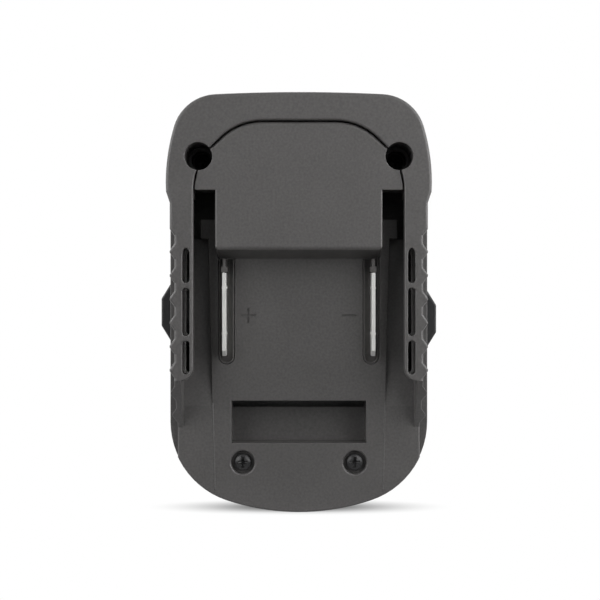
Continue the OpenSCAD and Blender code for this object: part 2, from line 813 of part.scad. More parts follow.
// Insulating tray round a blade, with the stub and rib that cover the blade's upper end
module blade_holder(side) {
    slit = blade_t / 2 + fit_gap / 2;
    floor_t = deck_t + holder_cut;
    open_top_z = nose_z - nose_spread - fit_gap;
    tail_top_z = clip_tail_z + lead_d + fit_gap;
    stub_low_z = blade_top_z + fit_gap;
    stub_step_z = stub_low_z + stub_h;
    stub_t = deck_t - blade_h + stub_step;
    color(holder_color)
    on_side(side) {
        difference() {
            union() {
                slab(deck_t - holder_proud, holder_t) holder_profile(0, holder_top_z);
                block([holder_x - holder_w / 2 - holder_flange, deck_in_t, -holder_drop + holder_w / 2],
                      [holder_x, holder_t, holder_top_z]);
            }
            slab(deck_t - over, floor_t) holder_profile(holder_rim, open_top_z);
            block([blade_x - slit, floor_t - over, -blade_drop - fit_gap],
                  [blade_x + slit, holder_t + over, stub_low_z]);
            block([blade_x - slit, tail_t - fit_gap, -blade_drop - fit_gap],
                  [blade_x + slit, holder_t + over, tail_top_z]);
            block([holder_x - far, deck_t - over, open_top_z],
                  [holder_x + far, deck_t, holder_top_z + over]);
        }
        block([blade_x - stub_w / 2, stub_t, stub_low_z], [blade_x + stub_w / 2, floor_t, stub_step_z]);
        block([blade_x - stub_rib_w / 2, stub_t, stub_step_z],
              [blade_x + stub_rib_w / 2, floor_t, open_top_z]);
    }
}

// Release button in one moulding with its arm, post and hook
module release_button(side, z) {
    side_x = body_w / 2;
    base = button_base_h / 2;
    face = button_face_h / 2;
    hook_x = neck_w / 2 + hook_proud;
    color(button_color)
    on_side(side) {
        slab(button_t[0], button_t[1])
            polygon([
                [flange_x - over, z - base], [side_x, z - base], [side_x + button_proud, z - face],
                [side_x + button_proud, z + face], [side_x, z + base], [flange_x - over, z + base]
            ]);
        block([flange_x - flange_w, button_t[0] + flange_step, z - base - flange_rim],
              [flange_x, button_t[1] - flange_step, z + base + flange_rim]);
        block([post_x[0], arm_t[0], z - arm_h / 2], [flange_x - over, arm_t[1], z + arm_h / 2]);
        block([post_x[0], arm_t[0], z - arm_h / 2], [post_x[1], hook_back_t, z + arm_h / 2]);
        slab(hook_back_t - hook_t, hook_back_t)
            polygon([
                [post_x[1] - over, z - arm_h / 2], [hook_x, z - arm_h / 2],
                [hook_x, z], [neck_w / 2, z + arm_h / 2], [post_x[1] - over, z + arm_h / 2]
            ]);
        cross_bar(spring_t, z, peg_d, post_x[0] - peg_len, post_x[0] + over);
    }
}

// Corner of the spring's wire at one ring and one side
function spring_corner(ring, corner, length) =
    let (
        sides = 6,
        rings_per_turn = 12,
        a = 360 * ring / rings_per_turn,
        wind_r = (spring_d - spring_wire) / 2,
        rise = length / spring_turns,
        outward = [0, cos(a), sin(a)],
        along = [rise / (2 * PI), -wind_r * sin(a), wind_r * cos(a)],
        upward = cross(along / norm(along), outward),
        b = 360 * corner / sides
    )
    [rise * a / 360, 0, 0] + wind_r * outward + spring_wire / 2 * (cos(b) * outward + sin(b) * upward);

// Return spring between the rib under the deck and a button's post
module button_spring(side, z) {
    sides = 6;
    rings = 12 * spring_turns;
    from = rib_w / 2 + spring_wire / 2 + fit_gap;
    length = post_x[0] - spring_wire / 2 - fit_gap - from;
    points = [for (ring = [0:rings]) for (corner = [0:sides - 1]) spring_corner(ring, corner, length)];
    walls = [for (ring = [0:rings - 1]) for (corner = [0:sides - 1])
        let (
            a = ring * sides + corner,
            b = ring * sides + (corner + 1) % sides
        )
        each [[a, b, b + sides], [a, b + sides, a + sides]]];
    first_cap = [for (corner = [1:sides - 2]) [0, corner + 1, corner]];
    last = rings * sides;
    last_cap = [for (corner = [1:sides - 2]) [last, last + corner, last + corner + 1]];
    echo(least_spring_gap = length / spring_turns - spring_wire);
    color(metal_color)
    on_side(side)
        translate([from, y_at(spring_t), z]) polyhedron(points, concat(walls, first_cap, last_cap));
}

// Pan-head screw along Y with a cross recess, from its seat back
module screw(x, z, seat) {
    recess_w = 0.9;
    recess_len = 2.8;
    recess_cut = 1.2;
    head_t = seat - screw_head_h;
    color(screw_color)
    difference() {
        union() {
            bar(x, z, screw_head_d, head_t, seat);
            bar(x, z, screw_d, seat - over, rear_in_t);
        }
        block([x - recess_len / 2, head_t - over, z - recess_w / 2],
              [x + recess_len / 2, head_t + recess_cut, z + recess_w / 2]);
        block([x - recess_w / 2, head_t - over, z - recess_len / 2],
              [x + recess_w / 2, head_t + recess_cut, z + recess_len / 2]);
    }
}

module positive_blade() blade(left);
module negative_blade() blade(right);
module positive_blade_holder() blade_holder(left);
module negative_blade_holder() blade_holder(right);
module positive_tool_clip() tool_clip(left);
module negative_tool_clip() tool_clip(right);
module positive_lead() lead(left);
module negative_lead() lead(right);
module left_release_button() release_button(left, left_button_z);
module right_release_button() release_button(right, right_button_z);
module left_button_spring() button_spring(left, left_button_z);
module right_button_spring() button_spring(right, right_button_z);
module upper_left_screw() screw(-upper_screw_x, upper_screw_z, upper_seat);
module upper_right_screw() screw(upper_screw_x, upper_screw_z, upper_seat);
module lower_left_screw() screw(-lower_screw_x, -lower_screw_drop, lower_seat_t);
module lower_right_screw() screw(lower_screw_x, -lower_screw_drop, lower_seat_t);

front_housing();
terminal_hood();
rear_housing();
terminal_block();
positive_blade();
negative_blade();
positive_blade_holder();
negative_blade_holder();
positive_tool_clip();
negative_tool_clip();
positive_lead();
negative_lead();
left_release_button();
right_release_button();
left_button_spring();
right_button_spring();
upper_left_screw();
upper_right_screw();
lower_left_screw();
lower_right_screw();
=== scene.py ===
# %% [markdown]
# # A slide-in battery adapter, finished for its picture
#
# The solids come from CAD at their real size, in metres, with the battery side facing -Y.
# This lesson gives them their looks: moulded edges, grained plastic, bright blades, dark screws.
# Nothing here moves a CAD piece. A finished copy takes its place instead.

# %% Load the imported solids
import json
import math

import bmesh
import bpy
import numpy as np
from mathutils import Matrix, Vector
from mathutils.geometry import tessellate_polygon


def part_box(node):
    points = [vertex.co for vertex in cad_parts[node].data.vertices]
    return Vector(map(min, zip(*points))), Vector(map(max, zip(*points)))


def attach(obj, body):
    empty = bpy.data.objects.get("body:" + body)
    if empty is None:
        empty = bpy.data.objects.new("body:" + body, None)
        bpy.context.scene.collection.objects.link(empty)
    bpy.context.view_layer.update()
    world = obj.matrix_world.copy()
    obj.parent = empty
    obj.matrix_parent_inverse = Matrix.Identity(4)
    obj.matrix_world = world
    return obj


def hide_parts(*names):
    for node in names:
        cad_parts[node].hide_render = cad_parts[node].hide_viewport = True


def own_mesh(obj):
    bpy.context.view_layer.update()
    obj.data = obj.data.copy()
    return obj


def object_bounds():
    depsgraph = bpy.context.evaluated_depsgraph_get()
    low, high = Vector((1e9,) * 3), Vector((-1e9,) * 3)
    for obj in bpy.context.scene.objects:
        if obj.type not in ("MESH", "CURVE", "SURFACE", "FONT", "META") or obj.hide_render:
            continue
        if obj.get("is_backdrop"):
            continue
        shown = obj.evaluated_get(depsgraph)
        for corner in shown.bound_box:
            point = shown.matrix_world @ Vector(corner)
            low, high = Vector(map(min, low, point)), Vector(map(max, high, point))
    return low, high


MM = 0.001

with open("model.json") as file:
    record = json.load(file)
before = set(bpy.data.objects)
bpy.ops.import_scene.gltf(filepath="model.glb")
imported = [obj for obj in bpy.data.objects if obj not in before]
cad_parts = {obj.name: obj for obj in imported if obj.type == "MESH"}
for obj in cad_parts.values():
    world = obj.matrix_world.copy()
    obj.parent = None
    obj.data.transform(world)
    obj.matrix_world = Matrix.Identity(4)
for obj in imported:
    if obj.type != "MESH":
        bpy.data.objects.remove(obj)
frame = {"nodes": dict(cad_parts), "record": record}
cad_low, cad_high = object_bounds()
print("solids:", len(frame["nodes"]), "box in mm:", [round(v / MM, 1) for v in cad_high - cad_low])

# %% [markdown]
# ## The camera
#
# The picture is a straight front view with next to no lens distortion.
# One pixel covers 0.293 mm on the front face of the rails, seen from 420 mm away.
# Those two values and the frame of 600 pixels give the lens, so nothing is fitted by eye.

# %% Place the camera
FRAME_PX = 600
CENTRE_PX = 298.8
RAIL_MM_PER_PX = 0.293
CAMERA_GAP = 420 * MM
SENSOR = 36.0

rail_y = cad_low.y
view_w = FRAME_PX * RAIL_MM_PER_PX * MM
camera_data = bpy.data.cameras.new("camera")
camera_data.sensor_width = SENSOR
camera_data.lens = SENSOR * CAMERA_GAP / view_w
camera = bpy.data.objects.new("camera", camera_data)
camera.location = ((FRAME_PX / 2 - CENTRE_PX) * RAIL_MM_PER_PX * MM, rail_y - CAMERA_GAP, 0)
camera.rotation_euler = (math.radians(90), 0, 0)
bpy.context.scene.collection.objects.link(camera)
bpy.context.scene.camera = camera
print("lens in mm:", round(camera_data.lens, 1))

# %% [markdown]
# ## The stage
#
# The adapter stands on a sheet that runs on to a white horizon.
# The white is a glow that only the camera and mirrors see, so it throws no light.
# A glossy front mirrors the camera's side of the room, and most rooms are darker there.
# So mirrors see the glow grow dark towards the camera.

# %% Helpers for shader nodes and meshes
ROOM_DIM = 0.08


def fresh_material(name):
    """An empty node material, with its nodes and its links."""
    material = bpy.data.materials.new(name)
    material.use_nodes = True
    material.node_tree.nodes.clear()
    return material, material.node_tree.nodes, material.node_tree.links


def seen_directly(nodes, links):
    """A socket that is 1 for rays from the camera or by way of a mirror or glass, and 0 for the rest."""
    path = nodes.new("ShaderNodeLightPath")
    total = path.outputs["Is Camera Ray"]
    for kind in ("Is Glossy Ray", "Is Transmission Ray"):
        joined = nodes.new("ShaderNodeMath")
        joined.operation = "MAXIMUM"
        links.new(total, joined.inputs[0])
        links.new(path.outputs[kind], joined.inputs[1])
        total = joined.outputs[0]
    return total


def dim_in_front(nodes, links, depth, front, back):
    """A socket that is 1 for the camera. For other rays it falls to ROOM_DIM towards the camera's side,
    where the room is dark: the given depth, a place or a heading along Y, runs from front to back."""
    room = nodes.new("ShaderNodeMapRange")
    room.inputs["From Min"].default_value = front
    room.inputs["From Max"].default_value = back
    room.inputs["To Min"].default_value = ROOM_DIM
    room.inputs["To Max"].default_value = 1.0
    links.new(depth, room.inputs["Value"])
    level = nodes.new("ShaderNodeMath")
    level.operation = "MAXIMUM"
    links.new(room.outputs["Result"], level.inputs[0])
    links.new(nodes.new("ShaderNodeLightPath").outputs["Is Camera Ray"], level.inputs[1])
    return level.outputs[0]


def mesh_object(name, points, faces):
    """A mesh object at the origin from an array of points and a list of faces."""
    mesh = bpy.data.meshes.new(name)
    mesh.from_pydata(points.tolist(), [], faces)
    mesh.update()
    made = bpy.data.objects.new(name, mesh)
    bpy.context.scene.collection.objects.link(made)
    return made


# %% [markdown]
# The sheet is a plain grey under its glow. The glow fades out in an ellipse under the adapter, and there the
# grey shows as painted shade, shaped to the adapter's contact shadow. The soft shadow that the lamps throw
# falls on that grey too, so the shade there is partly real and partly painted.

# %% Lay the floor
FLOOR_REACH = 6.0
FLOOR_GREY = 0.3
FLOOR_DARK = -60 * MM
FLOOR_BRIGHT = 20 * MM
# The ellipse of painted shade under the adapter: its middle, and its reach across and in depth.
PAINTED_SHADE_MIDDLE = (0, -7 * MM, 0)
PAINTED_SHADE_REACH = (51 * MM, 20 * MM)
ANY_HEIGHT = 6000.0
FADE_START = 0.1
FADE_END = 0.95
FLOOR_GLOW = 0.1

floor_corners = FLOOR_REACH * np.array([[-1, -1, 0], [1, -1, 0], [1, 1, 0], [-1, 1, 0]], float)
floor = mesh_object("floor", floor_corners + [0, 0, cad_low.z], [[0, 1, 2, 3]])
material, nodes, links = fresh_material("white_sheet")
sheet = nodes.new("ShaderNodeBsdfDiffuse")
sheet.inputs["Color"].default_value = (FLOOR_GREY, FLOOR_GREY, FLOOR_GREY, 1)
glow = nodes.new("ShaderNodeEmission")
flatten = nodes.new("ShaderNodeMapping")
flatten.vector_type = "TEXTURE"
flatten.inputs["Location"].default_value = PAINTED_SHADE_MIDDLE
flatten.inputs["Scale"].default_value = (*PAINTED_SHADE_REACH, ANY_HEIGHT)
place = nodes.new("ShaderNodeTexCoord").outputs["Object"]
links.new(place, flatten.inputs["Vector"])
deep = nodes.new("ShaderNodeSeparateXYZ")
links.new(place, deep.inputs["Vector"])
level = dim_in_front(nodes, links, deep.outputs["Y"], FLOOR_DARK, FLOOR_BRIGHT)
links.new(level, glow.inputs["Strength"])
distance = nodes.new("ShaderNodeVectorMath")
distance.operation = "LENGTH"
links.new(flatten.outputs["Vector"], distance.inputs[0])
# Inside the ellipse the glow gives way to the grey sheet, which shows there as painted shade. The lamps'
# shadow on it is real.
fade = nodes.new("ShaderNodeMapRange")
fade.interpolation_type = "SMOOTHSTEP"
fade.inputs["From Min"].default_value = FADE_START
fade.inputs["From Max"].default_value = FADE_END
fade.inputs["To Min"].default_value = FLOOR_GLOW
fade.inputs["To Max"].default_value = 1.0
links.new(distance.outputs["Value"], fade.inputs["Value"])
share = nodes.new("ShaderNodeMath")
share.operation = "MULTIPLY"
links.new(fade.outputs["Result"], share.inputs[0])
links.new(seen_directly(nodes, links), share.inputs[1])
both = nodes.new("ShaderNodeMixShader")
links.new(share.outputs[0], both.inputs[0])
links.new(sheet.outputs[0], both.inputs[1])
links.new(glow.outputs[0], both.inputs[2])
links.new(both.outputs[0], nodes.new("ShaderNodeOutputMaterial").inputs["Surface"])
floor.data.materials.append(material)
floor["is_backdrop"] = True
print("floor at z in mm:", round(cad_low.z / MM, 1))

# %% [markdown]
# The world is white to the camera and a faint fill for everything else.
# A heading along Y of -1 looks towards the camera, and there mirrors see it dark.

# %% Hang the white room
SKY_FILL = 0.05
HEADING_DARK = -0.5
HEADING_BRIGHT = 0.2

world = bpy.data.worlds.new("white_room")
world.use_nodes = True
nodes, links = world.node_tree.nodes, world.node_tree.links
nodes.clear()
white = nodes.new("ShaderNodeBackground")
white.inputs["Color"].default_value = (1, 1, 1, 1)
heading = nodes.new("ShaderNodeSeparateXYZ")
links.new(nodes.new("ShaderNodeTexCoord").outputs["Generated"], heading.inputs["Vector"])
level = dim_in_front(nodes, links, heading.outputs["Y"], HEADING_DARK, HEADING_BRIGHT)
links.new(level, white.inputs["Strength"])
fill = nodes.new("ShaderNodeBackground")
fill.inputs["Color"].default_value = (1, 1, 1, 1)
fill.inputs["Strength"].default_value = SKY_FILL
pick = nodes.new("ShaderNodeMixShader")
links.new(seen_directly(nodes, links), pick.inputs[0])
links.new(fill.outputs[0], pick.inputs[1])
links.new(white.outputs[0], pick.inputs[2])
links.new(pick.outputs[0], nodes.new("ShaderNodeOutputWorld").inputs["Surface"])
bpy.context.scene.world = world
print("fill from the room:", SKY_FILL)

# %% [markdown]
# Two soft boxes stand left and right of the camera, and a weak one above and behind it evens out the front.
# Two narrow ones to the sides draw the light lines on the rounded edges, and one behind lights the back.

# %% Set the lamps


def soft_box(name, place, width, height, watts):
    """A rectangular lamp that faces the adapter, with its place and sizes in metres."""
    lamp = bpy.data.lights.new(name, "AREA")
    lamp.shape = "RECTANGLE"
    lamp.size = width
    lamp.size_y = height
    lamp.energy = watts
    made = bpy.data.objects.new(name, lamp)
    made.location = place
    made.rotation_euler = (-Vector(place)).to_track_quat("-Z", "Y").to_euler()
    bpy.context.scene.collection.objects.link(made)
    print(name, "watts:", watts)


# Each row: name, place, width, height, watts
soft_box("right_lamp", (0.29, -0.26, 0.13), 0.36, 0.5, 1.5)
soft_box("left_lamp", (-0.33, -0.35, 0.16), 0.3, 0.5, 1.22)
soft_box("front_lamp", (0.10, -0.75, 0.30), 0.4, 0.4, 0.2)
soft_box("right_edge_lamp", (0.34, -0.12, 0.10), 0.08, 0.4, 0.6)
soft_box("left_edge_lamp", (-0.34, -0.12, 0.10), 0.08, 0.4, 0.5)
soft_box("back_lamp", (-0.25, 0.55, 0.35), 0.5, 0.5, 2.2)
bpy.context.scene.view_settings.view_transform = "Standard"

# %% [markdown]
# ## Finishes
#
# No finish is quite even, so a noise drives its colour, its roughness and its height.
# All patterns read Object coordinates, which are metres here, so one over the feature's size is the scale.

# %% What a noise can drive
NOISE_LOW = 0.3
NOISE_HIGH = 0.7


def noise(nodes, links, place, feature, detail=2.0):
    """A noise socket whose features have the given size in metres."""
    made = nodes.new("ShaderNodeTexNoise")
    made.inputs["Scale"].default_value = 1 / feature
    made.inputs["Detail"].default_value = detail
    links.new(place, made.inputs["Vector"])
    return made.outputs["Fac"]


def spread(nodes, links, source, low, high):
    """The noise's usual range, NOISE_LOW to NOISE_HIGH, stretched from low to high."""
    made = nodes.new("ShaderNodeMapRange")
    made.inputs["From Min"].default_value = NOISE_LOW
    made.inputs["From Max"].default_value = NOISE_HIGH
    made.inputs["To Min"].default_value = low
    made.inputs["To Max"].default_value = high
    links.new(source, made.inputs["Value"])
    return made.outputs["Result"]


def mottled(nodes, links, source, shades):
    """A colour socket that goes from the first shade to the second over the noise's usual range."""
    ramp = nodes.new("ShaderNodeValToRGB")
    for stop, at, shade in zip(ramp.color_ramp.elements, (NOISE_LOW, NOISE_HIGH), shades):
        stop.position = at
        stop.color = (*np.minimum(shade, 1), 1)
    links.new(source, ramp.inputs["Fac"])
    return ramp.outputs["Color"]


def lifted(nodes, links, source, lift):
    """A normal socket for a surface that the noise lifts by up to the given height."""
    bump = nodes.new("ShaderNodeBump")
    bump.inputs["Strength"].default_value = 1.0
    bump.inputs["Distance"].default_value = lift
    links.new(source, bump.inputs["Height"])
    return bump.outputs["Normal"]


# %% [markdown]
# The shells are moulded in a spark-eroded tool: charcoal plastic with a fine, soft grain.
# The grain is a noise with features about a third of a millimetre across, which lifts the surface
# by about a hundredth of a millimetre. A coarser one mottles the colour,
# and the roughness changes a little over patches of some millimetres.

# %% Grained plastic
WORN_PATCH = 9 * MM
WORN_SPREAD = 0.05


def grained_plastic(name, color, mottle, roughness, grain, lift, gloss):
    """Moulded plastic: a mottled colour, uneven roughness, and a grain of the given size and lift."""
    material, nodes, links = fresh_material(name)
    place = nodes.new("ShaderNodeTexCoord").outputs["Object"]
    shader = nodes.new("ShaderNodeBsdfPrincipled")
    shader.inputs["Specular IOR Level"].default_value = gloss
    shades = [np.array(color) * (1 - mottle), np.array(color) * (1 + mottle)]
    coarse = noise(nodes, links, place, 2 * grain, detail=3.0)
    links.new(mottled(nodes, links, coarse, shades), shader.inputs["Base Color"])
    worn = noise(nodes, links, place, WORN_PATCH)
    uneven = spread(nodes, links, worn, roughness - WORN_SPREAD, roughness + WORN_SPREAD)
    links.new(uneven, shader.inputs["Roughness"])
    links.new(lifted(nodes, links, noise(nodes, links, place, grain), lift), shader.inputs["Normal"])
    links.new(shader.outputs[0], nodes.new("ShaderNodeOutputMaterial").inputs["Surface"])
    return material


CHARCOAL = (0.083, 0.080, 0.079)
HOOD_GREY = (0.084, 0.081, 0.080)
TRAY_GREY = (0.074, 0.071, 0.069)
BUTTON_BLACK = (0.020, 0.020, 0.021)

# Each row: colour, mottle, roughness, size of the grain, its lift, gloss
finishes = {
    "shell_plastic": grained_plastic("charcoal_shell", CHARCOAL, 0.14, 0.38, 0.35 * MM, 0.010 * MM, 0.5),
    "hood_plastic": grained_plastic("charcoal_hood", HOOD_GREY, 0.14, 0.38, 0.35 * MM, 0.010 * MM, 0.5),
    "insulator_plastic": grained_plastic("dark_tray", TRAY_GREY, 0.08, 0.45, 0.5 * MM, 0.006 * MM, 0.4),
    "button_plastic": grained_plastic("black_button", BUTTON_BLACK, 0.10, 0.42, 0.3 * MM, 0.006 * MM, 0.4),
}
print("plastics:", sorted(finishes))

# %% [markdown]
# The blades and clips are tinned copper alloy, bright with faint drawing lines.
# The lines are the same noise stretched along Z.
# The screws are black oxide, the springs bare steel wire, and the leads have a soft plastic jacket.

# %% Metals and wire
LINE_SHADES = (0.92, 1.05)
LINE_SMOOTHER = 0.05
LINE_ROUGHER = 0.07


def drawn_metal(name, color, roughness, line, length, lift):
    """Bare metal with drawing lines of the given width that run for some length along Z."""
    material, nodes, links = fresh_material(name)
    place = nodes.new("ShaderNodeTexCoord").outputs["Object"]
    stretch = nodes.new("ShaderNodeMapping")
    stretch.inputs["Scale"].default_value = (1, 1, line / length)
    links.new(place, stretch.inputs["Vector"])
    lines = noise(nodes, links, stretch.outputs["Vector"], line, detail=3.0)
    shader = nodes.new("ShaderNodeBsdfPrincipled")
    shader.inputs["Metallic"].default_value = 1.0
    shades = [np.array(color) * share for share in LINE_SHADES]
    links.new(mottled(nodes, links, lines, shades), shader.inputs["Base Color"])
    uneven = spread(nodes, links, lines, roughness - LINE_SMOOTHER, roughness + LINE_ROUGHER)
    links.new(uneven, shader.inputs["Roughness"])
    links.new(lifted(nodes, links, lines, lift), shader.inputs["Normal"])
    links.new(shader.outputs[0], nodes.new("ShaderNodeOutputMaterial").inputs["Surface"])
    return material


TIN_BRIGHT = (0.80, 0.80, 0.78)
STEEL_GREY = (0.55, 0.55, 0.54)
OXIDE_BLACK = (0.024, 0.024, 0.025)
JACKET_RED = (0.28, 0.015, 0.012)
JACKET_BLACK = (0.012, 0.012, 0.013)

# Bare metal: colour, roughness, width, length and lift of its lines. The others are as the plastics.
finishes |= {
    "tinned_metal": drawn_metal("tinned_metal", TIN_BRIGHT, 0.6, 0.12 * MM, 4 * MM, 0.0003 * MM),
    "spring_steel": drawn_metal("spring_steel", STEEL_GREY, 0.30, 0.1 * MM, 1 * MM, 0.002 * MM),
    "black_steel": grained_plastic("black_oxide", OXIDE_BLACK, 0.2, 0.3, 0.2 * MM, 0.001 * MM, 0.5),
    "red_insulation": grained_plastic("red_jacket", JACKET_RED, 0.1, 0.4, 0.6 * MM, 0.01 * MM, 0.5),
    "black_insulation": grained_plastic("black_jacket", JACKET_BLACK, 0.1, 0.4, 0.6 * MM, 0.01 * MM, 0.5),
}
slot_of = {row["node"]: row["material_slot"] for row in frame["record"]["subparts"]}
body_of = {node: body for body, group in frame["record"]["behaviour"]["bodies"].items() for node in group}
print("finishes:", sorted(finishes))

# %% [markdown]
# ## Moulded edges
#
# A CAD solid has knife edges, and no moulding does.
# A Bevel modifier struggles here: a deck with slots, pockets and screw holes is one face with many holes,
# and the modifier needs faces without any. So the rounding is worked out face by face instead.
# Every flat face is drawn in from its edges by their radius, each edge becomes a curved strip
# between its two faces, and each corner is closed by a small patch between the strips.

# %% Find the flat faces of a solid
FLAT = math.radians(0.3)


def flat_faces(shape):
    """A number for each triangle, shared by the triangles of one flat face."""
    number = np.full(len(shape.faces), -1)
    for first in shape.faces:
        if number[first.index] >= 0:
            continue
        fresh = number.max() + 1
        number[first.index] = fresh
        waiting = [first]
        while waiting:
            for edge in waiting.pop().edges:
                for near in edge.link_faces:
                    if number[near.index] < 0 and edge.calc_face_angle() < FLAT:
                        number[near.index] = fresh
                        waiting.append(near)
    return number


# %% [markdown]
# The outline of a flat face is read as a round of sides, and every edge has a side in each of its two faces.
# The sides are kept as arrays, so that one line of numpy works on the whole solid at once.
# Loops over Blender's own edges would do the same more slowly.

# %% Read the sides of the faces
MERGE = 0.002 * MM


class Sides:
    """The sides of a solid's flat faces, as arrays.

    A side runs along an edge with its face on the left. It knows the side that follows it
    round the face, the one before, and its twin, which runs back along the neighbouring face."""

    def __init__(self, mesh):
        shape = bmesh.new()
        shape.from_mesh(mesh)
        bmesh.ops.remove_doubles(shape, verts=shape.verts, dist=MERGE)
        shape.verts.index_update()
        shape.faces.index_update()
        shape.faces.ensure_lookup_table()
        number = flat_faces(shape)
        loops = [
            loop for face in shape.faces for loop in face.loops
            if number[loop.link_loop_radial_next.face.index] != number[face.index]
        ]
        place = {loop: i for i, loop in enumerate(loops)}

        def onward(loop):
            loop = loop.link_loop_next
            while loop not in place:
                loop = loop.link_loop_radial_next.link_loop_next
            return place[loop]

        self.next = np.array([onward(loop) for loop in loops])
        self.back = np.argsort(self.next)
        self.twin = np.array([place[loop.link_loop_radial_next] for loop in loops])
        self.face = np.array([number[loop.face.index] for loop in loops])
        self.start = np.array([loop.vert.co for loop in loops])
        self.end = self.start[self.next]
        self.middle = (self.start + self.end) / 2
        facing = np.zeros((number.max() + 1, 3))
        np.add.at(facing, number, [face.normal * face.calc_area() for face in shape.faces])
        face_area = np.linalg.norm(facing, axis=1)
        self.face_normal = facing / face_area[:, None]
        shape.free()
        self.area = face_area[self.face]
        self.normal = self.face_normal[self.face]
        self.other = self.normal[self.twin]
        self.length = np.linalg.norm(self.end - self.start, axis=1)
        self.along = (self.end - self.start) / self.length[:, None]
        self.inward = np.cross(self.normal, self.along)
        self.turn = np.arccos(np.clip((self.normal * self.other).sum(1), -1, 1))
        self.convex = (self.inward * self.other).sum(1) < 0


# %% [markdown]
# A radius must fit its face. Two edges across a narrow rib, for example, share the rib between them.
# So the first step is to measure the room beside each edge.

# %% Measure the room beside each edge
SIDE_POINTS = 5
FACE_TO_FACE = 0.2
FAR_OFF = 1.0
LEAST_RADII = 1e-9


def room_beside(sides, wanted):
    """The part of the way across its face that each side may round off.

    SIDE_POINTS points on each side are dropped on every other side of the face, all pairs at once.
    Only sides that look at each other across the face count, and they share the distance
    in proportion to the radii that they want."""
    room = np.full(len(sides.next), FAR_OFF)
    steps = np.linspace(0, 1, SIDE_POINTS)[None, :, None]
    for number in range(len(sides.face_normal)):
        own = np.flatnonzero(sides.face == number)
        start, end, inward = sides.start[own], sides.end[own], sides.inward[own]
        points = start[:, None] * (1 - steps) + end[:, None] * steps
        span = end - start
        drop = np.einsum("kpjc,jc->kpj", points[:, :, None] - start, span) / (span**2).sum(1)
        nearest = start + np.clip(drop, 0, 1)[..., None] * span
        gaps = np.linalg.norm(points[:, :, None] - nearest, axis=-1).min(1)
        middle = sides.middle[own]
        ahead = np.einsum("ijc,ic->ij", middle[None] - middle[:, None], inward) > 0
        touching = sides.next[own][:, None] == own[None]
        facing = (inward @ inward.T < FACE_TO_FACE) & ahead & ahead.T & ~touching & ~touching.T
        share = wanted[own][:, None] / np.maximum(wanted[own][:, None] + wanted[own], LEAST_RADII)
        room[own] = np.where(facing, gaps * share, FAR_OFF).min(1)
    return room


# %% [markdown]
# When the sides of a face are drawn in, its corners move inwards, and a short side may vanish or turn round.
# Where one does, its radius and those of its two neighbours shrink, until every side keeps some length.

# %% Draw the faces in
SHARP = math.radians(24)
GENTLE = math.cos(math.radians(22))
ROOM_SHARE = 0.85
LEAST_TURN = 1e-6
FIT_ROUNDS = 80
LEAST_LEFT = 0.08
SHRINK = 0.8


def drawn_in(sides, radius):
    """The point where each face's corner lands when its sides are drawn in by their radii.

    On a gentle turn it lies on the bisector, at the mean radius. On a sharp one it is the point
    whose distances from the two sides' lines are their own radii."""
    first, second = sides.inward, sides.inward[sides.next]
    r1, r2 = radius[:, None], radius[sides.next][:, None]
    cosine = (first * second).sum(1)[:, None]
    total = first + second
    size = np.maximum(np.linalg.norm(total, axis=1)[:, None], LEAST_TURN)
    gentle = total / size * (r1 + r2) / size
    spread_out = np.maximum(1 - cosine**2, LEAST_TURN)
    sharp = ((r1 - cosine * r2) * first + (r2 - cosine * r1) * second) / spread_out
    return sides.end + np.where(cosine > GENTLE, gentle, sharp)


def fitting_radii(sides, wanted):
    """The wanted radii, made smaller wherever a drawn-in side would shrink away or turn round."""
    wanted = np.where((sides.turn > SHARP) & sides.convex, wanted, 0.0)
    radius = np.minimum(wanted, ROOM_SHARE * room_beside(sides, wanted))
    radius = np.minimum(radius, radius[sides.twin])
    for _ in range(FIT_ROUNDS):
        corner = drawn_in(sides, radius)
        left = ((corner - corner[sides.back]) * sides.along).sum(1)
        lost = np.flatnonzero(left < LEAST_LEFT * sides.length)
        if not len(lost):
            break
        touched = np.concatenate([lost, sides.next[lost], sides.back[lost]])
        share = np.ones(len(radius))
        share[touched] = SHRINK
        radius = radius * np.minimum(share, share[sides.twin])
    return radius


# %% [markdown]
# Each strip is stretched between two curves, one round the corner at either end of its edge.
# A curve leaves one face along that face and comes in along the next.

# %% Curves round the corners
STRIP_STEPS = 4


def strip_arcs(sides, radius, corner):
    """Curves round each corner, from one face's drawn-in point to the next face's.

    Each is a conic that starts and ends along its two faces and leans on the knife-edge corner,
    which makes it part of a circle wherever an edge runs on evenly."""
    over = sides.next
    t = np.linspace(0, 1, STRIP_STEPS + 1)[None, :, None]
    lean = np.cos(sides.turn[over] / 2)[:, None, None]
    a, b, c = corner[:, None], sides.end[:, None], corner[sides.twin[over]][:, None]
    weight = (1 - t) ** 2 + 2 * lean * t * (1 - t) + t**2
    curve = ((1 - t) ** 2 * a + 2 * lean * t * (1 - t) * b + t**2 * c) / weight
    return np.where(radius[over][:, None, None] > 0, curve, a * (1 - t) + c * t)


# %% [markdown]
# Shading that is left to the mesh would run across the large flat faces, so the normals are worked out too.
# Wide faces keep their own, the narrow faces of a curved wall share theirs,
# and a strip's normals swing from one face's to the other's.

# %% Normals for the shading
AROUND = 12
CURVE_STEP = 3 * MM
LEAST_LENGTH = 1e-12


def unit(vectors):
    """Vectors of length 1 in the same directions."""
    return vectors / np.maximum(np.linalg.norm(vectors, axis=-1, keepdims=True), LEAST_LENGTH)


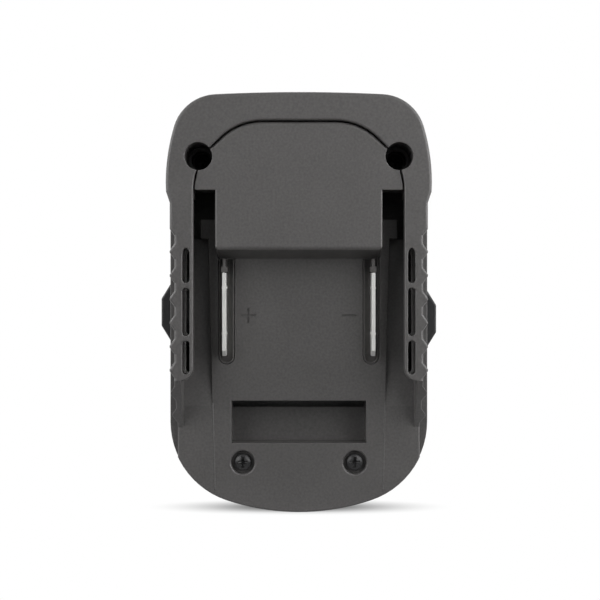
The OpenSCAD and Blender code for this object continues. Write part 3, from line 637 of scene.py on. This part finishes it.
def corner_normals(sides):
    """The shading normal of every face at every corner, averaged with the faces round the same
    corner that belong to the same curve: they meet at a gentle edge and one of them is narrow.
    Large faces and wide corners count for more. Two wide faces keep the crease between them."""
    narrow = np.minimum(sides.area, sides.area[sides.twin]) / sides.length < CURVE_STEP
    curved = (sides.turn < SHARP) & narrow
    wide = np.arccos(np.clip(-(sides.along * sides.along[sides.next]).sum(1), -1, 1))
    share = (wide * sides.area)[:, None] * sides.normal
    total = share.copy()
    start = np.arange(len(share))
    for forward in (True, False):
        at, linked = start, np.full(len(start), True)
        for _ in range(AROUND):
            crossed = sides.next[at] if forward else at
            at = sides.twin[crossed] if forward else sides.back[sides.twin[crossed]]
            linked = linked & curved[crossed] & (at != start)
            total += linked[:, None] * share[at]
    return unit(total)


def arc_normals(sides):
    """Normals along the strip curves, which swing from one face's normal to the other's."""
    t = np.linspace(0, 1, STRIP_STEPS + 1)[None, :, None]
    shade = corner_normals(sides)
    return unit(shade[:, None] * (1 - t) + shade[sides.twin[sides.next]][:, None] * t)


# %% [markdown]
# A drawn-in face is one polygon, unless it has holes: Blender knows no faces with holes,
# so such a face is cut into triangles. At a corner of the solid several strips end,
# and the gap that they leave is closed by a patch. Its sides are put in order here.

# %% Fill the faces and the corners


def face_loops(sides):
    """The closed rounds of sides of every face."""
    seen = np.zeros(len(sides.next), bool)
    rounds = [[] for _ in sides.face_normal]
    for first in range(len(sides.next)):
        loop = []
        side = first
        while not seen[side]:
            seen[side] = True
            loop.append(side)
            side = sides.next[side]
        if loop:
            rounds[sides.face[first]].append(loop)
    return rounds


def flat_polygons(sides, corner):
    """Polygons that fill the drawn-in faces. A face with holes is cut into triangles."""
    filled = []
    for loops, normal in zip(face_loops(sides), sides.face_normal):
        if len(loops) == 1:
            filled.append(loops[0])
            continue
        order = [side for loop in loops for side in loop]
        for cut in tessellate_polygon([[Vector(corner[side]) for side in loop] for loop in loops]):
            a, b, c = (order[i] for i in cut)
            upward = np.cross(corner[b] - corner[a], corner[c] - corner[a]) @ normal > 0
            filled.append([a, b, c] if upward else [a, c, b])
    return filled


def corner_fans(sides):
    """The sides that end at each corner of the solid, in order round it."""
    seen = np.zeros(len(sides.next), bool)
    for first in range(len(seen)):
        fan = []
        side = first
        while not seen[side]:
            seen[side] = True
            fan.append(side)
            side = sides.twin[sides.next[side]]
        if len(fan) > 2:
            yield fan


# %% [markdown]
# Now the faces, strips and corner patches are put together.
# Patches that are thinner than a hair are left out: their normals would point anywhere and show as streaks.

# %% Put the rounded solid together
WELD = 0.0002 * MM
HAIR = 0.0004 * MM


def breadth(loop):
    """The area inside a closed loop of points over its length. A loop that runs out and back along
    one line has none."""
    rays = loop[1:] - loop[0]
    area = np.linalg.norm(np.cross(rays[:-1], rays[1:]).sum(0)) / 2
    return area / max(np.linalg.norm(loop - np.roll(loop, 1, axis=0), axis=1).sum(), WELD)


def rounded_solid(sides, radius):
    """Points, normals and faces of a solid whose edges are rounded to the given radii."""
    corner = drawn_in(sides, radius)
    points = strip_arcs(sides, radius, corner).reshape(-1, 3)
    normals = arc_normals(sides).reshape(-1, 3)
    count, width = len(corner), STRIP_STEPS + 1
    at = np.arange(count * width).reshape(count, width)
    faces = [at[loop, 0] for loop in flat_polygons(sides, corner)]
    once = np.flatnonzero(np.arange(count) < sides.twin)
    near, away = at[sides.back[once]], at[sides.back[sides.twin[once]]][:, ::-1]
    faces += list(np.stack([near[:, :-1], near[:, 1:], away[:, 1:], away[:, :-1]], axis=-1).reshape(-1, 4))
    rings = [at[fan, :-1].ravel()[::-1] for fan in corner_fans(sides)]
    rings = [ring for ring in rings if breadth(points[ring]) > HAIR]
    for middle, ring in enumerate(rings, start=len(points)):
        faces += [np.array([ring[i - 1], ring[i], middle]) for i in range(len(ring))]
    points = np.concatenate([points, [points[ring].mean(0) for ring in rings]])
    normals = np.concatenate([normals, [unit(normals[ring].sum(0)) for ring in rings]])
    return points, normals, faces


# %% [markdown]
# Points that agree in place and normal are welded into one mesh.
# It takes the place of its solid: it has the same slot, rides on the same body and hides the solid.

# %% Put the mesh in the solid's place
NORMAL_STEP = 0.01


def welded_object(name, points, normals, faces):
    """A mesh object that keeps the given normals. Points that agree in place and normal are welded,
    and faces that come out empty are left out."""
    look = np.column_stack([np.round(points / WELD), np.round(normals / NORMAL_STEP)]).astype(int)
    _, first, same = np.unique(look, axis=0, return_index=True, return_inverse=True)
    spot = np.unique(look[:, :3], axis=0, return_inverse=True)[1]
    kept = []
    for face in faces:
        face = face[spot[face] != spot[np.roll(face, 1)]]
        if len(face) > 2 and breadth(points[face]) > HAIR:
            kept.append(same[face].tolist())
    made = mesh_object(name, points[first], kept)
    made.data.shade_smooth()
    made.data.normals_split_custom_set_from_vertices(normals[first])
    return made


def settle(piece, node):
    """Give a piece its node's finish and body, and hide the node behind it."""
    piece.data.materials.append(finishes[slot_of[node]])
    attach(piece, body_of[node])
    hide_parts(node)


def finish_node(node, rule):
    """Put a rounded copy of a CAD solid in its place, with its finish and its body."""
    sides = Sides(frame["nodes"][node].data)
    radius = fitting_radii(sides, rule(sides))
    piece = welded_object(node + "_finished", *rounded_solid(sides, radius))
    settle(piece, node)
    print(node, "faces:", len(piece.data.polygons), "largest radius in mm:", round(radius.max() / MM, 2))


# %% [markdown]
# How round an edge is depends on where it lies. The back of the rear shell is the roundest, the hood
# and the front shell's rim less so, and the marks beside the blades hardly at all.
# So each shell has a rule that names its zones and gives each its radius.
# A later zone overrules an earlier one.

# %% Zones of edges


def places(sides):
    """Distance from the centre line, depth behind the rails' front and height of each edge's middle."""
    return np.abs(sides.middle[:, 0]), sides.middle[:, 1] - rail_y, sides.middle[:, 2]


def between(values, limits):
    """True where a value lies between two limits."""
    return (values > limits[0]) & (values < limits[1])


def zone_radii(usual, *zones):
    """The usual radius for every edge, overruled by each zone's own in turn."""
    wanted = np.full(len(zones[0][0]), usual)
    for zone, size in zones:
        wanted[zone] = size
    return wanted


def from_upper_hole(side, height):
    """Distance from the axis of the nearer upper screw, which stands in its hole."""
    axis = sum(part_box("upper_right_screw"), Vector()) / 2
    return np.hypot(side - axis.x, height - axis.z)


# %% [markdown]
# The front shell is the half that the battery slides onto. Grip teeth run down both sides of its rim,
# two lips hold the battery's rails, and the deck between them has the pocket for the battery's latch.

# %% Finish the front shell
RIM_LAYER = 0.5 * MM
OUTLINE_SIDE = 35 * MM
CROWN_LOW = 55 * MM
TEETH_TOP = 28 * MM
LIP_SIDE = 31.6 * MM
LIP_TOP = 26 * MM
VENT_SIDE = 34.5 * MM
VENT_TOP = 20 * MM
JOINT_SIDE = 34 * MM
JOINT_LOW = 33 * MM
HOLE_EDGE = 4.4 * MM
DECK_LAYER = (11 * MM, 12.5 * MM)
FOOT_TOP = -25 * MM
FOOT_MIDDLE = -12 * MM
FOOT_R = 37 * MM
MARK_SIDES = (12.8 * MM, 17.6 * MM)
MARK_HEIGHTS = (-7.2 * MM, -2.2 * MM)


def front_rule(sides):
    """Wide on the rim's outline, teeth and lips and along the hood's joint, small on vents, holes
    and pocket, least on the marks."""
    side, depth, height = places(sides)
    rim = depth < RIM_LAYER
    outline = rim & ((side > OUTLINE_SIDE) | (height > CROWN_LOW))
    teeth = rim & (side > OUTLINE_SIDE) & (height < TEETH_TOP)
    lips = rim & (side < LIP_SIDE) & (height < LIP_TOP)
    vents = rim & between(side, (LIP_SIDE, VENT_SIDE)) & (height < VENT_TOP)
    joint = rim & (side < JOINT_SIDE) & between(height, (JOINT_LOW, CROWN_LOW))
    joint &= from_upper_hole(side, height) > HOLE_EDGE
    foot = (height < FOOT_TOP) & between(depth, DECK_LAYER)
    foot &= np.hypot(side, height - FOOT_MIDDLE) > FOOT_R
    marks = between(side, MARK_SIDES) & between(height, MARK_HEIGHTS)
    return zone_radii(0.25 * MM, (outline, 1.0 * MM), (teeth, 0.8 * MM), (lips, 0.7 * MM), (vents, 0.4 * MM),
                      (joint, 0.6 * MM), (foot, 0.6 * MM), (marks, 0.03 * MM))


finish_node("front_housing", front_rule)

# %% [markdown]
# The hood is a moulding of its own over the roots of the blades. Both it and the rim are rounded
# where they meet, and that makes the joint show as a line. Its nose hangs over the deck,
# with soft lower corners. The rear shell is the half that slides onto the tool.

# %% Finish the hood and the rear shell
HOOD_LAYER = 2 * MM
NOSE_LAYER = (HOOD_LAYER, 10 * MM)
NOSE_TOP = 32 * MM
NOSE_LOW = 20 * MM
NOSE_SIDE = 20 * MM
SEAT_LAYER = 0.3 * MM
TOWER_SIDE = 30 * MM
TOWER_REACH = 32 * MM


def hood_rule(sides):
    """Full along the joint with the rim and at the nose's lower corners, less on the nose's other edges,
    least at the holes."""
    side, depth, height = places(sides)
    front = depth < HOOD_LAYER
    joint = front & (height > NOSE_TOP)
    holes = from_upper_hole(side, height) < HOLE_EDGE
    nose = front & (height < NOSE_TOP)
    lower_edge = front & (height < NOSE_LOW) & (side < NOSE_SIDE)
    corners = between(depth, NOSE_LAYER) & (height < NOSE_LOW) & (side > NOSE_SIDE)
    return zone_radii(0.5 * MM, (joint, 1.2 * MM), (holes, 0.25 * MM), (nose, 0.6 * MM),
                      (lower_edge, 1.1 * MM), (corners, 1.4 * MM))


def rear_rule(sides):
    """Generous round the back of the shell, modest everywhere else."""
    side, depth, height = places(sides)
    seat = np.abs(depth + rail_y) < SEAT_LAYER
    back_edge = seat & ((side > TOWER_SIDE) | (np.abs(height) > TOWER_REACH))
    return zone_radii(0.5 * MM, (back_edge, 1.8 * MM))


finish_node("terminal_hood", hood_rule)
finish_node("rear_housing", rear_rule)

# %% [markdown]
# The buttons and the small parts have the same radius all round: soft where a thumb presses,
# hardly any on stamped metal and on what holds it.

# %% Finish the small parts
EVEN_RADII = {
    0.6 * MM: ("left_release_button", "right_release_button"),
    0.12 * MM: ("positive_blade", "negative_blade", "positive_blade_holder", "negative_blade_holder"),
    0.2 * MM: ("positive_tool_clip", "negative_tool_clip", "terminal_block"),
}


def even(size):
    """A rule that wants the same radius on every edge."""
    return lambda sides: np.full(len(sides.next), size)


for size, group in EVEN_RADII.items():
    for node in group:
        finish_node(node, even(size))

# %% [markdown]
# ## Round pieces
#
# Screws, springs and leads are round, so each is a stack of rings: a row of points carried round an axis
# or along a path. Blender's own screw and curve tools could make them too, but a formula shows what decides
# the shape, and one helper then turns any stack of rings into a closed mesh.

# %% A closed surface from rings


def ring_surface(name, rings):
    """A mesh object from rings of points, each joined to the next, with both ends closed to a middle point.

    The sum of a.(b x c) over all triangles is six times the volume. Where it comes out negative
    the faces look inwards, and their order is turned round."""
    count, around = rings.shape[:2]
    points = np.concatenate([rings.reshape(-1, 3), rings[[0, -1]].mean(1)])
    at = np.arange(count * around).reshape(count, around)
    ahead = np.roll(at, -1, axis=1)
    walls = np.stack([at[:-1], ahead[:-1], ahead[1:], at[1:]], axis=-1).reshape(-1, 4)
    first, last = np.full(around, len(points) - 2), np.full(around, len(points) - 1)
    caps = np.concatenate([np.stack([first, ahead[0], at[0]], 1), np.stack([last, at[-1], ahead[-1]], 1)])
    a, b, c = points[np.concatenate([walls[:, :3], walls[:, [0, 2, 3]], caps])].transpose(1, 0, 2)
    outward = (a * np.cross(b, c)).sum() > 0
    faces = walls.tolist() + caps.tolist()
    made = mesh_object(name, points, faces if outward else [face[::-1] for face in faces])
    made.data.shade_smooth()
    return made


# %% [markdown]
# A screw is a lathe profile from the middle of its head to its tip: a low dome, a rounded rim,
# the flat under the head, the shank and the point. Two things are not round.
# The cross is pressed into the dome, deepest in the middle, and the thread runs round the shank.

# %% The cross in a screw's head
CROSS_LEN = 3.2 * MM
CROSS_W = 0.95 * MM
CROSS_DEEP = 2.0 * MM
CROSS_SLOPE = 0.1 * MM
CROSS_RISE = 0.6


def smooth(t):
    """0 below 0, 1 above 1, and 3t^2 - 2t^3 between."""
    t = np.clip(t, 0, 1)
    return t * t * (3 - 2 * t)


def cross_depth(u, v):
    """How far the cross is pressed in at a point of the head: a plus of two bars with sloping walls,
    whose floor rises from the middle to the ends of the arms."""
    u, v = np.abs(u), np.abs(v)
    flat = np.minimum(CROSS_W / 2 - v, CROSS_LEN / 2 - u)
    upright = np.minimum(CROSS_W / 2 - u, CROSS_LEN / 2 - v)
    floor_deep = CROSS_DEEP * (1 - CROSS_RISE * np.hypot(u, v) / (CROSS_LEN / 2))
    return floor_deep * smooth(np.maximum(flat, upright) / CROSS_SLOPE)


# %% [markdown]
# Each point of the profile is carried round the axis in many columns.
# The cross and the thread are then added point by point, as depth on the dome and as radius on the shank.

# %% Turn the screws
DOME = 0.7 * MM
HEAD_EDGE = 0.4 * MM
HEAD_H = 1.9 * MM
SHANK_R = 1.5 * MM
THREAD_PITCH = 1.2 * MM
THREAD_DEEP = 0.3 * MM
POINT_H = 1.2 * MM
SCREW_COLUMNS = 144
FACE_ROWS = 48
RIM_ROWS = 8
THREAD_ROWS = 8


def screw_rings(head_r, length):
    """Radius and depth of a screw at every row and column, with depth 0 at the middle of the dome.

    The dome's depth is DOME (r / head_r)^2, its rim a quarter circle, and the shank's radius is less
    by a triangle wave of depth / pitch - angle / turn."""
    angle = np.linspace(0, 2 * np.pi, SCREW_COLUMNS, endpoint=False)
    face_r = np.linspace(0, head_r - HEAD_EDGE, FACE_ROWS + 1)[1:]
    rim = np.linspace(0, np.pi / 2, RIM_ROWS)[1:]
    rim_depth = DOME * (face_r[-1] / head_r) ** 2
    shank = np.arange(HEAD_H, length - POINT_H, THREAD_PITCH / THREAD_ROWS)
    radius = np.concatenate([face_r, face_r[-1] + HEAD_EDGE * np.sin(rim), [head_r, SHANK_R],
                             np.full(len(shank), SHANK_R), [SHANK_R / 2, SHANK_R / 8]])
    depth = np.concatenate([DOME * (face_r / head_r) ** 2, rim_depth + HEAD_EDGE * (1 - np.cos(rim)),
                            [HEAD_H, HEAD_H], shank, [length - POINT_H / 3, length]])
    radius, depth = radius[:, None] + 0 * angle, depth[:, None] + 0 * angle
    face, thread = slice(0, FACE_ROWS), slice(-len(shank) - 2, -2)
    depth[face] += cross_depth(radius[face] * np.cos(angle), radius[face] * np.sin(angle))
    wave = np.abs(2 * np.mod(depth[thread] / THREAD_PITCH - angle / (2 * np.pi), 1) - 1)
    radius[thread] -= THREAD_DEEP * wave
    return radius, depth, angle


for node in ("upper_left_screw", "upper_right_screw", "lower_left_screw", "lower_right_screw"):
    low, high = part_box(node)
    radius, depth, angle = screw_rings((high.x - low.x) / 2, high.y - low.y)
    middle = (low + high) / 2
    across, upward = middle.x + radius * np.cos(angle), middle.z + radius * np.sin(angle)
    screw = ring_surface(node + "_turned", np.stack([across, low.y + depth, upward], axis=-1))
    settle(screw, node)
    print(screw.name, "faces:", len(screw.data.polygons))

# %% [markdown]
# A spring is a circle of wire carried along a helix. Its end turns lie closer than those in the middle, as on
# a wound spring with closed ends. It is squeezed by its button.

# %% Springs
SPRING_TURNS = 4.5
WIRE_R = 0.3 * MM
END_PITCH = 0.35
END_SHARE = 1 / 6
RINGS_PER_TURN = 40
WIRE_SIDES = 12


def wire_rings(path, outward, wire_r, around):
    """Circles of points square to a path, drawn between an outward direction and the one across it."""
    tangent = unit(np.gradient(path, axis=0))
    outward = unit(outward - (outward * tangent).sum(1)[:, None] * tangent)
    aside = np.cross(tangent, outward)
    turn = np.linspace(0, 2 * np.pi, around, endpoint=False)[None, :, None]
    return path[:, None] + wire_r * (np.cos(turn) * outward[:, None] + np.sin(turn) * aside[:, None])


def helix(start, end, wind_r):
    """Points and outward directions of a helix along X. Its pitch grows smoothly from the closed ends
    to the middle, and the running sum of the pitch gives the place along X."""
    steps = int(SPRING_TURNS * RINGS_PER_TURN)
    share = np.linspace(0, 1, steps + 1)
    pitch = END_PITCH + (1 - END_PITCH) * smooth(share / END_SHARE) * smooth((1 - share) / END_SHARE)
    along = np.concatenate([[0], np.cumsum((pitch[1:] + pitch[:-1]) / 2)])
    angle = 2 * np.pi * SPRING_TURNS * share
    outward = np.stack([0 * angle, np.cos(angle), np.sin(angle)], axis=-1)
    axis = np.array(start) + (along / along[-1])[:, None] * np.array(end - start)
    return axis + wind_r * outward, outward


for joint in frame["record"]["behaviour"]["joints"]:
    soft = joint["deforming_nodes"][0]
    node, fixed = soft["node"], soft["fixed_end_x_m"]
    low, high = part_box(node)
    side = math.copysign(1, fixed)
    middle = (low + high) / 2
    start = Vector((fixed + side * WIRE_R, middle.y, middle.z))
    end = Vector(((high.x if side > 0 else low.x) - side * WIRE_R, middle.y, middle.z))
    path, outward = helix(start, end, (high.y - low.y) / 2 - WIRE_R)
    spring = ring_surface(node + "_wound", wire_rings(path, outward, WIRE_R, WIRE_SIDES))
    settle(spring, node)
    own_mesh(spring)

# %% [markdown]
# Each lead is a jacketed wire that runs inwards from its blade and bends back to its contact.
# The path is a straight, a quarter circle and another straight, and the jacket is a circle carried along it.

# %% Leads
BEND_R = 2.2 * MM
BEND_POINTS = 13
JACKET_SIDES = 20


def bent_path(outer, corner, back):
    """Points from the outer end to the corner and on to the back end, with the corner rounded to BEND_R."""
    inward, onward = unit(corner - outer), unit(back - corner)
    turn = np.linspace(0, np.pi / 2, BEND_POINTS)[:, None]
    bend = corner + BEND_R * (np.sin(turn) - 1) * inward + BEND_R * (1 - np.cos(turn)) * onward
    return np.concatenate([[outer], bend, [back]])


for node in ("positive_lead", "negative_lead"):
    low, high = (np.array(corner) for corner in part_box(node))
    wire_r = (high[2] - low[2]) / 2
    side = 1 if high[0] > 0 else -1
    near, away = (low[0], high[0]) if side > 0 else (high[0], low[0])
    level = np.array([low[1] + wire_r, (low[2] + high[2]) / 2])
    corner = np.array([near + side * wire_r, *level])
    path = bent_path(np.array([away, *level]), corner, corner * [1, 0, 1] + [0, high[1], 0])
    upward = np.tile([0.0, 0.0, 1.0], (len(path), 1))
    lead = ring_surface(node + "_jacket", wire_rings(path, upward, wire_r, JACKET_SIDES))
    settle(lead, node)
    print(lead.name, "bend in mm:", BEND_R / MM)

# %% [markdown]
# The mould's slides leave two fine witness lines on the deck, from the ends of the side channels to the foot.
# Each is a flat ellipse carried along a straight line and half sunk in the deck,
# so that a ridge of WITNESS_H stands out of it.

# %% Witness lines
WITNESS_TOP = (26.0 * MM, -31.0 * MM)
WITNESS_FOOT = (25.3 * MM, -57.3 * MM)
WITNESS_W = 0.5 * MM
WITNESS_H = 0.12 * MM
WITNESS_ROWS = 60
WITNESS_SIDES = 20
DECK_DEPTH = 12 * MM

for name, side in (("left_witness_line", -1), ("right_witness_line", 1)):
    ends = np.array([[side * x, rail_y + DECK_DEPTH, z] for x, z in (WITNESS_TOP, WITNESS_FOOT)])
    share = np.linspace(0, 1, WITNESS_ROWS)[:, None]
    middle = ends[0] + share * (ends[1] - ends[0])
    turn = np.linspace(0, 2 * np.pi, WITNESS_SIDES, endpoint=False)
    section = np.stack([WITNESS_W / 2 * np.cos(turn), WITNESS_H * np.sin(turn), 0 * turn], axis=-1)
    line = ring_surface(name, middle[:, None] + section)
    line.data.materials.append(finishes["shell_plastic"])
    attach(line, "housing")
    print(line.name, "length in mm:", round(np.linalg.norm(ends[1] - ends[0]) / MM, 1))

# %% [markdown]
# ## Sizes
#
# The box of the finished adapter is set beside the box of its CAD solids, so that the two can be compared.

# %% The sizes side by side
low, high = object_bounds()
{"cad": [list(cad_low), list(cad_high)], "visual": [list(low), list(high)]}
